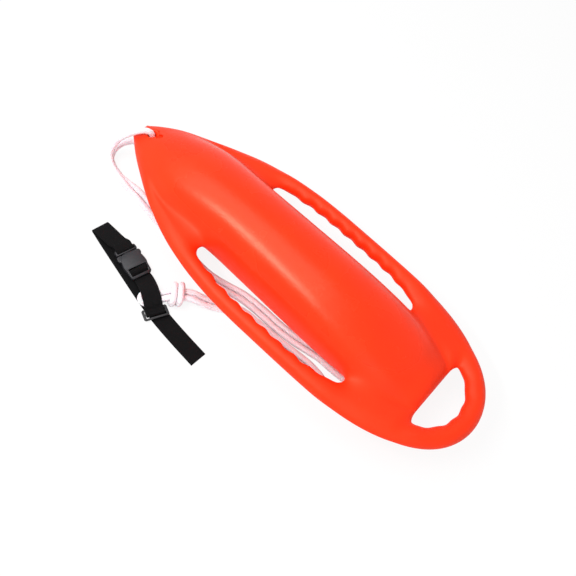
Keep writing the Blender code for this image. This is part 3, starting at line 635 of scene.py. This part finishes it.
def hull_cage():
    """Quarter cage of the hull: rows from the centreline to the edge at stations from nose to tail."""
    stations = [([(TIP_X, TIP_HALF * k / (ROWS - 1), 0) for k in range(ROWS)], False)]
    stations += [(web_station(x), False) for x in FRONT_WEBS]
    grips = [(GRIP_FIRST + GRIP_PITCH / 2, -GRIP_WAVE / 2)]
    grips += [(GRIP_FIRST - k * GRIP_PITCH / 2, GRIP_WAVE if k % 2 == 0 else -GRIP_WAVE)
              for k in range(2 * GRIP_COUNT - 1)]
    grips += [(GRIP_FIRST - (GRIP_COUNT - 0.5) * GRIP_PITCH, -GRIP_WAVE / 2)]
    stations.append((slot_end(*SLOT_FRONT), True))
    stations += [(slot_station(x, wave), True)
                 for x, wave in ((SLOT_PLAIN_FRONT, 0), *grips, (SLOT_PLAIN_REAR, 0))]
    stations.append((slot_end(*SLOT_REAR), False))
    stations += [(web_station(x), False) for x in REAR_WEBS]
    width = fair(HALF_WIDTH, HOLE_X)
    _, crown, outer = rim_controls((HOLE_X, HOLE_RIM_Y), (HOLE_X + HOLE_SKEW, width))
    hole_rows = [(HOLE_X, y, 0) for y in HOLE_SIDE] + [(x, y, 0) for x, y in HOLE_CORNER]
    hole_rows += [(*crown, RIM_HALF * HOLE_LIFT), (*outer, 0)]
    stations.append((hole_rows, False))

    vertices, faces, slot_before = [], [], False
    for rows, open_after in stations:
        base = len(vertices)
        vertices += rows
        if base:
            faces += [(base - ROWS + j, base - ROWS + j + 1, base + j + 1, base + j)
                      for j in range(ROWS - 1) if j != SLOT_ROW or not slot_before]
        slot_before = open_after
    edge = [len(vertices) - 3, len(vertices) - 2, len(vertices) - 1]
    for inside, outside in zip(HOLE_EDGE, TAIL_EDGE):
        inner, crown, outer = rim_controls(inside, outside)
        base = len(vertices)
        vertices += [(*inner, 0), (*crown, RIM_HALF * RIM_LIFT), (*outer, 0)]
        if inside[1] == 0:
            for k in (3, 2, 1):
                vertices[-k] = (vertices[-k][0], 0.0, vertices[-k][2])
        faces += [(edge[0], edge[1], base + 1, base), (edge[1], edge[2], base + 2, base + 1)]
        edge = [base, base + 1, base + 2]
    return mesh_from("Hull", vertices, faces, recalculate=False)


def combine(piece, mesh, operation="DIFFERENCE", place=(0, 0, 0), tilt=0.0):
    """Boolean of a piece, applied at once."""
    cutter = new_piece("Cutter", mesh)
    cutter.location = Vector(place) * MM
    cutter.rotation_euler.y = tilt
    cut = piece.modifiers.new("Cut", "BOOLEAN")
    cut.operation = operation
    cut.object = cutter
    settle(piece)
    bpy.data.objects.remove(cutter, do_unlink=True)


def settle(piece):
    """Applies a piece's modifiers to its mesh."""
    bpy.context.view_layer.update()
    shown = piece.evaluated_get(bpy.context.evaluated_depsgraph_get())
    mesh = bpy.data.meshes.new_from_object(shown)
    piece.modifiers.clear()
    piece.data = mesh


def smooth_hull(level, seam):
    """Faired hull with the moulding's parting line, its tunnel, port and flat land."""
    hull = new_piece("Hull", hull_cage())
    halves = hull.modifiers.new("Both halves", "MIRROR")
    halves.use_axis = (False, True, True)
    halves.merge_threshold = 0.1 * MM
    fairing = hull.modifiers.new("Fairing", "SUBSURF")
    fairing.levels = fairing.render_levels = level
    settle(hull)
    count = len(hull.data.vertices)
    spots = np.empty(count * 3)
    hull.data.vertices.foreach_get("co", spots)
    spots = spots.reshape(count, 3)
    normals = np.array([vertex.normal[:] for vertex in hull.data.vertices])
    on_seam = (np.abs(spots[:, 2]) < 0.01 * MM) & (np.abs(normals[:, 2]) < 0.2)
    on_seam &= ((np.abs(spots[:, 1]) > SEAM_SIDE * MM) | (spots[:, 0] < SEAM_TAIL * MM)
                | (spots[:, 0] > SEAM_NOSE * MM))
    spots[on_seam] += normals[on_seam] * seam
    spots[:, 2] += MID_Z * MM
    spots[:, 2] = np.maximum(spots[:, 2], 0)
    hull.data.vertices.foreach_set("co", spots.ravel())

    depth = fair(HALF_HEIGHT, TUNNEL_X)
    flare = [(TUNNEL_RADIUS + TUNNEL_FLARE * (1 - math.cos(a)),
              depth - TUNNEL_MOUTH - TUNNEL_FLARE * (1 - math.sin(a)))
             for a in map(math.radians, FLARE_ANGLES)]
    wide = TUNNEL_RADIUS + TUNNEL_FLARE
    bore = [(0, -depth - CLEAR), (wide, -depth - CLEAR)]
    bore += [(radius, -height) for radius, height in reversed(flare)]
    bore += flare + [(wide, depth + CLEAR), (0, depth + CLEAR)]
    combine(hull, lathe("Bore", bore, BORE_SIDES), place=(TUNNEL_X, 0, MID_Z))
    port = [(0, -PORT_BORE), (PORT_RADIUS, -PORT_BORE), (PORT_RADIUS, -PORT_DEPTH), (PORT_SEAT, -PORT_DEPTH),
            (PORT_SEAT, -PORT_LIP), (PORT_SEAT + PORT_SPREAD, PORT_TOP), (0, PORT_TOP)]
    mouth = (PORT_X, 0, MID_Z + fair(HALF_HEIGHT, PORT_X))
    combine(hull, lathe("Port", port, BORE_SIDES), place=mouth, tilt=PORT_TILT)
    return hull


# Rope

def rope_pair():
    """Both legs of the doubled rope, side by side along one route."""
    centre = smooth_path(PAIR_ROUTE, PAIR_STEP)
    across = level_sides(centre)
    return centre + across * LEG_OFFSET, centre - across * LEG_OFFSET


def bight_path(diameter):
    """Centreline of the bight that holds the belt."""
    rows = smooth_path(BIGHT_ROUTE, diameter, ROPE_BEND)
    neck, spread = rows[:, :3], rows[:, 3:]
    across = level_sides(neck)
    radius = spread[-1, 0]
    forward = (neck[-1] - neck[-2]) / np.linalg.norm(neck[-1] - neck[-2])
    arc = [neck[-1] + across[-1] * radius * math.cos(a) + forward * radius * math.sin(a)
           for a in np.linspace(0, math.pi, BIGHT_POINTS)[1:-1]]
    return np.vstack([neck + across * spread, arc, (neck - across * spread)[::-1]])


def knot_path(diameter):
    """Centreline of the collar wound tight round both legs, with both ends tucked under."""
    reach = diameter * KNOT_REACH
    steps = KNOT_STEPS * KNOT_TURNS
    ahead = Vector((math.cos(KNOT_TURN), math.sin(KNOT_TURN), 0))
    side = Vector((math.sin(KNOT_TURN), -math.cos(KNOT_TURN), 0))
    turns = []
    for k in range(steps + 1):
        angle = 2 * math.pi * KNOT_TURNS * k / steps - math.pi / 2
        along = KNOT_PITCH * KNOT_TURNS * (k / steps - 0.5) + KNOT_SHIFT
        spread = LEG_OFFSET * max(-1, min(1, 2 * math.cos(angle)))
        offset = side * (spread + reach * math.cos(angle)) + Vector((0, 0, reach * math.sin(angle)))
        turns.append(Vector(KNOT_CENTRE) + ahead * along + offset)
    return np.array(turns)


def braided(name, route, diameter, plaits, pitch):
    """Braided cord along a route: strands that pass over and under each other, in relief."""
    path = smooth_path(route, BRAID_STEP)
    sides, ups = frames_along(path)
    points = 4 * plaits
    angles = np.arange(points) / points
    depth = diameter * PLAIT_HEIGHT
    rings = []
    for spot, side, up, distance in zip(path, sides, ups, travel(path)):
        first = angles * plaits + distance / pitch * plaits
        second = angles * plaits - distance / pitch * plaits
        over = (np.floor(first) + np.floor(second)) % 2 == 0
        hump = np.where(over, np.sin(np.pi * (first % 1)), np.sin(np.pi * (second % 1)))
        radius = diameter / 2 - depth + depth * hump ** PLAIT_FULLNESS
        turn = angles * 2 * np.pi
        rings.append(spot + radius[:, None] * (np.cos(turn)[:, None] * side + np.sin(turn)[:, None] * up))
    return swept(name, path, rings)


# Belt

def buckle_point(x, z, heading=math.degrees(BUCKLE_TURN) + 90):
    """Strap route point given in the buckle's own frame."""
    turned = Matrix.Rotation(BUCKLE_TURN, 3, "Z") @ Vector((x, 0, z)) + Vector(BUCKLE_CENTRE)
    return (turned.x, turned.y, turned.z, heading)


def slider_point(x, z):
    """Strap route point given in the slider's own frame."""
    turned = Matrix.Rotation(SLIDER_TURN, 3, "Z") @ Vector((x, 0, z)) + Vector(SLIDER_CENTRE)
    return (turned.x, turned.y, turned.z, math.degrees(SLIDER_TURN) - 90)


def belt_route(thick):
    """Long webbing, from its end over the buckle's bar and the fold to the cut end."""
    wrap = BAR * BAR_CORNER + BAR_GAP + thick / 2
    flat = thick / 2 + FLOOR_GAP
    route = [buckle_point(MALE_BAR_X + 17, -1.6), buckle_point(MALE_BAR_X + 9, -wrap + 0.6),
             buckle_point(MALE_BAR_X + 1.5, -wrap)]
    route += [buckle_point(MALE_BAR_X - wrap * math.cos(a), wrap * math.sin(a))
              for a in map(math.radians, (-60, -25, 25, 60))]
    route += [buckle_point(MALE_BAR_X + 2, wrap), buckle_point(MALE_BAR_X + 10, wrap - 0.3, 79),
              (250, 154.6, 11.4, 80.5), (270, 154.0, 9.6, 82), (284, 153.6, 8.6, 83)]
    route += [(FOLD_X + FOLD_RADIUS * math.sin(a), 153.5, flat + FOLD_RADIUS * (1 + math.cos(a)), 82.5)
              for a in map(math.radians, (20, 60, 90, 120, 160))]
    route += [(284, 154.6, flat, 80), (262, 160, flat, 77.5), (210, 172, flat, 77.2),
              (156.7, 184, flat, 77.5), (125, 190.3, flat, 80), (100, 194.3, flat, 83), (60, 198, flat, 85),
              (14.9, 201, flat, 88)]
    return route


def short_route(thick):
    """Short strap: from the buckle's ladder over the bight and round the slider's middle bar."""
    short = [buckle_point(-12.2, -4.0), buckle_point(-12.2, -0.8), buckle_point(-12.4, 2.0),
             buckle_point(-15.0, 3.7), buckle_point(-18.4, 3.1), buckle_point(-21.2, 0.4),
             buckle_point(-23.6, -2.3, 76), buckle_point(-28.0, -3.1, 75), buckle_point(-34, -1.6, 73),
             (160, 172.8, 12.2, 70), (149, 178.3, 15.6, 67), (141, 183, 16.5, 66), (133, 187.6, 16.2, 66)]
    loop = SLIDER_BAR * BAR_CORNER + SLIDER_GAP + thick / 2
    short += [slider_point(-12.0, 7.4), slider_point(-7.0, loop + 0.4), slider_point(-2, loop)]
    short += [slider_point(loop * math.sin(a), loop * math.cos(a))
              for a in map(math.radians, (25, 65, 115, 155))]
    short += [slider_point(-2.5, -loop), slider_point(-10.5, -loop)]
    return short


def webbing(name, route, width, thick):
    """Flat webbing with rounded selvedges."""
    stations = smooth_path(route, WEB_STEP, WEB_BEND)
    tangents = np.gradient(stations[:, :3], axis=0)
    half, low = width / 2, thick / 2
    selvedge = [(half - low * SELVEDGE + low * SELVEDGE * math.cos(a), low * math.sin(a))
                for a in np.linspace(-math.pi / 2, math.pi / 2, SELVEDGE_POINTS)]
    flat = np.linspace(half - low, low - half, FLAT_POINTS)[1:-1]
    section = selvedge + [(side, low) for side in flat]
    section += [(-side, -up) for side, up in selvedge] + [(-side, -low) for side in flat]
    rings = []
    for (x, y, z, heading), tangent in zip(stations, tangents):
        across = Vector((math.cos(math.radians(heading)), math.sin(math.radians(heading)), 0))
        normal = Vector(tangent).cross(across).normalized()
        rings.append([Vector((x, y, z)) + across * side + normal * up for side, up in section])
    return swept(name, stations, rings)


# Buckle and slider

def both_sides(half):
    """Outline symmetrical about its X axis from its +Y half."""
    return list(half) + [(x, -y) for x, y in reversed(half) if y > 0]


def prism(outline, low, high, upright="Z"):
    """Closed body: an outline drawn in XY and raised in Z, or drawn in XZ and spread in Y."""
    count = len(outline)
    vertices = [(a, b, level) if upright == "Z" else (a, level, b)
                for level in (low, high) for a, b in outline]
    faces = [tuple(range(count))[::-1], tuple(range(count, 2 * count))]
    faces += [(k, (k + 1) % count, count + (k + 1) % count, count + k) for k in range(count)]
    return mesh_from("Prism", vertices, faces)


def box(rear, front, right, left, low, high):
    """Box between its limits along X, Y and Z."""
    return prism([(rear, right), (front, right), (front, left), (rear, left)], low, high)


def windows(cuts, half_width):
    """Cutters of the windows in a table."""
    return [box(rear, front, -half_width, half_width, low, high) for rear, front, low, high in cuts]


def plastic_piece(node, body, finish, outline, high, side=(), cuts=(), place=BUCKLE_CENTRE,
                  turn=BUCKLE_TURN):
    """Injection-moulded piece with rounded edges and windows, in place of its plain node."""
    piece = new_piece(node.title(), prism(outline, -high, high))
    if side:
        combine(piece, prism(side, -SIDE_REACH, SIDE_REACH, "Y"), "INTERSECT")
    edges = piece.modifiers.new("Edges", "BEVEL")
    edges.width = 0.7 * MM
    edges.segments = 4
    edges.limit_method = "ANGLE"
    edges.angle_limit = math.radians(30)
    settle(piece)
    for cutter in cuts:
        combine(piece, cutter)
    if not piece.data.polygons:
        raise RuntimeError("%s has lost its surface" % node)
    piece.data.transform(Matrix.Translation(Vector(place) * MM) @ Matrix.Rotation(turn, 4, "Z"))
    dress(piece, finish, node, body, sharp=38)


# Add-on

class BuoySettings(bpy.types.PropertyGroup):
    """Sizes and colours that a user would change."""

    hull_colour: bpy.props.FloatVectorProperty(
        name="Hull Colour", description="Colour of the moulded hull", subtype="COLOR", size=3,
        min=0, max=1, default=(0.96, 0.032, 0.0035))
    hull_roughness: bpy.props.FloatProperty(
        name="Hull Roughness", description="How dull the hull's skin is", subtype="FACTOR",
        min=0, max=1, default=0.27)
    seam_height: bpy.props.FloatProperty(
        name="Parting Line", description="How far the mould's parting line stands out", unit="LENGTH",
        min=0, max=0.002, default=0.0003, precision=5)
    hull_fineness: bpy.props.IntProperty(
        name="Hull Fineness", description="Subdivision level of the hull", min=1, max=4, default=3)
    rope_colour: bpy.props.FloatVectorProperty(
        name="Rope Colour", description="Colour of the rope's yarn", subtype="COLOR", size=3,
        min=0, max=1, default=(0.97, 0.865, 0.91))
    # Colour of the painted shade between the rope's plaits, and the base of its soiling
    rope_seam_shade_and_soil: bpy.props.FloatVectorProperty(
        name="Rope Shade", description="Colour in the hollows between the plaits", subtype="COLOR", size=3,
        min=0, max=1, default=(0.93, 0.75, 0.82))
    rope_diameter: bpy.props.FloatProperty(
        name="Rope Diameter", description="Thickness of the rope", unit="LENGTH", min=0.004, max=0.02,
        default=0.0105, precision=4)
    plaits: bpy.props.IntProperty(
        name="Plaits", description="Plaits that run each way round the rope", min=3, max=12, default=6)
    braid_pitch: bpy.props.FloatProperty(
        name="Braid Pitch", description="Length in which a plait goes once round", unit="LENGTH",
        min=0.01, max=0.1, default=0.032, precision=4)
    belt_colour: bpy.props.FloatVectorProperty(
        name="Belt Colour", description="Colour of the webbing", subtype="COLOR", size=3,
        min=0, max=1, default=(0.003, 0.003, 0.0033))
    belt_width: bpy.props.FloatProperty(
        name="Belt Width", description="Width of the webbing", unit="LENGTH", min=0.01, max=0.06,
        default=0.030, precision=4)
    belt_thickness: bpy.props.FloatProperty(
        name="Belt Thickness", description="Thickness of the webbing", unit="LENGTH", min=0.001, max=0.004,
        default=0.002, precision=4)
    buckle_colour: bpy.props.FloatVectorProperty(
        name="Buckle Colour", description="Colour of buckle and slider", subtype="COLOR", size=3,
        min=0, max=1, default=(0.009, 0.009, 0.012))
    floor_colour: bpy.props.FloatVectorProperty(
        name="Floor Colour", description="Colour of the studio floor", subtype="COLOR", size=3,
        min=0, max=1, default=(0.93, 0.93, 0.93))
    lamp_power: bpy.props.FloatProperty(
        name="Lamp Power", description="Power of the large overhead lamp", unit="POWER", min=0, default=25.0)
    strip_power: bpy.props.FloatProperty(
        name="Strip Power", description="Power of the narrow lamp beside the hull", unit="POWER",
        min=0, default=12.0)
    floor_glow: bpy.props.FloatProperty(
        name="Floor White", description="How far the floor is lifted to white where it is seen",
        subtype="FACTOR", min=0, max=1, default=0.88)
    room_light: bpy.props.FloatProperty(
        name="Room Light", description="Brightness of the room around the object", min=0, default=0.5)


def settings():
    """The scene's buoy settings."""
    return bpy.context.scene.buoy


class BUOY_OT_stage(bpy.types.Operator):
    """Set up the camera, floor and soft light"""

    bl_idname = "buoy.stage"
    bl_label = "Stage"

    def execute(self, context):
        chosen = settings()
        scene = context.scene
        camera = new_piece("Camera", bpy.data.cameras.new("Camera"))
        camera.data.lens = CAMERA_LENS
        camera.data.sensor_width = 36
        camera.data.clip_start = 0.01
        right, up = Vector(CAMERA_RIGHT).normalized(), Vector(CAMERA_UP).normalized()
        turn = Matrix((right, up, right.cross(up))).transposed()
        camera.matrix_world = Matrix.Translation(CAMERA_PLACE) @ turn.to_4x4()
        scene.camera = camera

        for name, (place, along, size, power, share) in LAMPS.items():
            lamp = new_piece(name, bpy.data.lights.new(name, "AREA"))
            lamp.data.shape = "RECTANGLE"
            lamp.data.size, lamp.data.size_y = size
            lamp.data.energy = getattr(chosen, power) * share
            away = Vector(place).normalized()
            across = Vector(along)
            across = (across - away * across.dot(away)).normalized()
            lamp.matrix_world = (Matrix.Translation(place)
                                 @ Matrix((across, away.cross(across), away)).transposed().to_4x4())

        floor = Finish("Floor", roughness=0.7, base_color=tuple(chosen.floor_colour), specular_ior_level=0.1)
        lit = Value(floor, floor.shader.outputs[0])
        white = floor.node("ShaderNodeEmission", inputs={"Color": (1, 1, 1, 1), "Strength": 1.0})
        lift = floor.shown() * chosen.floor_glow
        glow = floor.node("ShaderNodeMixShader", inputs={0: lift, 1: lit, 2: white})
        floor.join(floor.tree.nodes["Material Output"].inputs["Surface"], glow)
        corners = [(x * FLOOR_REACH, y * FLOOR_REACH, 0) for x, y in ((-1, -1), (1, -1), (1, 1), (-1, 1))]
        ground = new_piece("Floor", mesh_from("Floor", corners, [(0, 1, 2, 3)]))
        ground.data.materials.append(floor.material)

        world = bpy.data.worlds.new("Room")
        world.use_nodes = True
        scene.world = world
        room = Nodes(world.node_tree)
        background = room.tree.nodes["Background"]
        background.inputs["Color"].default_value = (1, 1, 1, 1)
        room.join(background.inputs["Strength"], room.shown() * (1 - chosen.room_light) + chosen.room_light)
        scene.view_settings.view_transform = "Standard"
        return {"FINISHED"}


class BUOY_OT_rope(bpy.types.Operator):
    """Lay the doubled rope, its bight and its knot"""

    bl_idname = "buoy.rope"
    bl_label = "Rope"

    def execute(self, context):
        chosen = settings()
        diameter, pitch = chosen.rope_diameter / MM, chosen.braid_pitch / MM
        finish = braid_finish("Rope braid", tuple(chosen.rope_colour), tuple(chosen.rope_seam_shade_and_soil),
                              chosen.plaits, pitch, math.pi * diameter)
        # Every fourth point of the shared run will do, and its last one, which the knot hides
        over, under = (smooth_path([*nose, *leg[:-3:4], leg[-1]], ROPE_STEP, ROPE_BEND)
                       for nose, leg in zip((LEG_OVER_NOSE, LEG_UNDER_NOSE), rope_pair()))
        made = {}
        for name, node, route in (
                ("Rope_knot", "rope_knot", knot_path(diameter)), ("Rope_over", "rope_leg_over", over),
                ("Rope_under", "rope_leg_under", under), ("Rope_bight", "rope_bight", bight_path(diameter))):
            piece = new_piece(name, braided(name, route, diameter, chosen.plaits, pitch))
            dress(piece, finish, node, "hull")
            made[node] = piece, route
        knot, _ = made["rope_knot"]
        for node in ("rope_leg_over", "rope_leg_under", "rope_bight"):
            piece, route = made[node]
            route = smooth_path(route, CORD_STEP) * MM
            [knot] if node == "rope_leg_over" else []
        return {"FINISHED"}


class BUOY_OT_hull(bpy.types.Operator):
    """Fair the moulded hull and finish its plug and core"""

    bl_idname = "buoy.hull"
    bl_label = "Hull"

    def execute(self, context):
        chosen = settings()
        colour = tuple(chosen.hull_colour)
        finish = moulded_finish("Hull plastic", colour, chosen.hull_roughness, grain=0.00018)
        hull = smooth_hull(chosen.hull_fineness, chosen.seam_height)
        dress(hull, finish, "hull_shell", "hull", sharp=40)
        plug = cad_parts["filler_plug"]
        plug.data.materials[0] = moulded_finish("Plug plastic", shade(colour, 0.85), roughness=0.5,
                                                grain=0.0001)
        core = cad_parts["foam_core"]
        core.data.materials[0] = foam_finish("Foam", FOAM_COLOUR)
        return {"FINISHED"}


class BUOY_OT_belt(bpy.types.Operator):
    """Weave the belt's two straps"""

    bl_idname = "buoy.belt"
    bl_label = "Belt"

    def execute(self, context):
        chosen = settings()
        width, thick = chosen.belt_width / MM, chosen.belt_thickness / MM
        finish = webbing_finish("Belt webbing", tuple(chosen.belt_colour), thread=1.6)
        belt = new_piece("Belt_strap", webbing("Belt_strap", belt_route(thick), width, thick))
        dress(belt, finish, "belt_strap")
        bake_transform(belt)
        short = new_piece("Short_strap", webbing("Short_strap", short_route(thick), width, thick))
        dress(short, finish, "short_strap")
        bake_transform(short)
        return {"FINISHED"}


class BUOY_OT_buckle(bpy.types.Operator):
    """Finish the buckle and the slider"""

    bl_idname = "buoy.buckle"
    bl_label = "Buckle"

    def execute(self, context):
        colour = tuple(settings().buckle_colour)
        finish = acetal_finish("Buckle plastic", colour, roughness=0.36)
        cavity = prism(both_sides(CAVITY_HALF), -CAVITY_HIGH, CAVITY_HIGH)
        plastic_piece("buckle_housing", "hull", finish, both_sides(HOUSING_HALF), HOUSING_HIGH, HOUSING_SIDE,
                      [cavity, *windows(HOUSING_CUTS, WINDOW)])
        plastic_piece("buckle_base", "male_half", finish, both_sides(BASE_HALF), BASE_HIGH, BASE_SIDE,
                      windows(BASE_CUTS, WINDOW))
        for name, side in (("left", 1), ("right", -1)):
            right, left = sorted((side * GROOVE_FLOOR, side * GROOVE_END))
            grooves = [box(x - GROOVE_HALF, x + GROOVE_HALF, right, left, -GROOVE_HIGH, GROOVE_HIGH)
                       for x in GROOVES]
            plastic_piece("buckle_arm_" + name, "arm_" + name, finish, [(x, side * y) for x, y in ARM_HALF],
                          ARM_HIGH, cuts=grooves)
        finish = acetal_finish("Slider plastic", shade(colour, 0.5), roughness=0.5)
        plastic_piece("belt_slider", "slider", finish, both_sides(SLIDER_HALF), SLIDER_BAR / 2,
                      cuts=windows(SLIDER_CUTS, SLIDER_WINDOW), place=SLIDER_CENTRE, turn=SLIDER_TURN)
        return {"FINISHED"}


class BUOY_PT_panel(bpy.types.Panel):
    """Rescue buoy pieces and their settings"""

    bl_label = "Rescue Buoy"
    bl_idname = "BUOY_PT_panel"
    bl_space_type = "VIEW_3D"
    bl_region_type = "UI"
    bl_category = "Buoy"

    def draw(self, context):
        column = self.layout.column()
        for name in BuoySettings.__annotations__:
            column.prop(context.scene.buoy, name)
        for operator in OPERATORS:
            column.operator(operator.bl_idname)


OPERATORS = (BUOY_OT_stage, BUOY_OT_rope, BUOY_OT_hull, BUOY_OT_belt, BUOY_OT_buckle)
CLASSES = (BuoySettings, *OPERATORS, BUOY_PT_panel)


def register():
    for made in CLASSES:
        bpy.utils.register_class(made)
    bpy.types.Scene.buoy = bpy.props.PointerProperty(type=BuoySettings)


def unregister():
    del bpy.types.Scene.buoy
    for made in reversed(CLASSES):
        bpy.utils.unregister_class(made)


def main():
    register()
    bpy.ops.buoy.stage()
    bpy.ops.buoy.rope()
    bpy.ops.buoy.hull()
    bpy.ops.buoy.belt()
    bpy.ops.buoy.buckle()


if __name__ == "__main__":
    main()
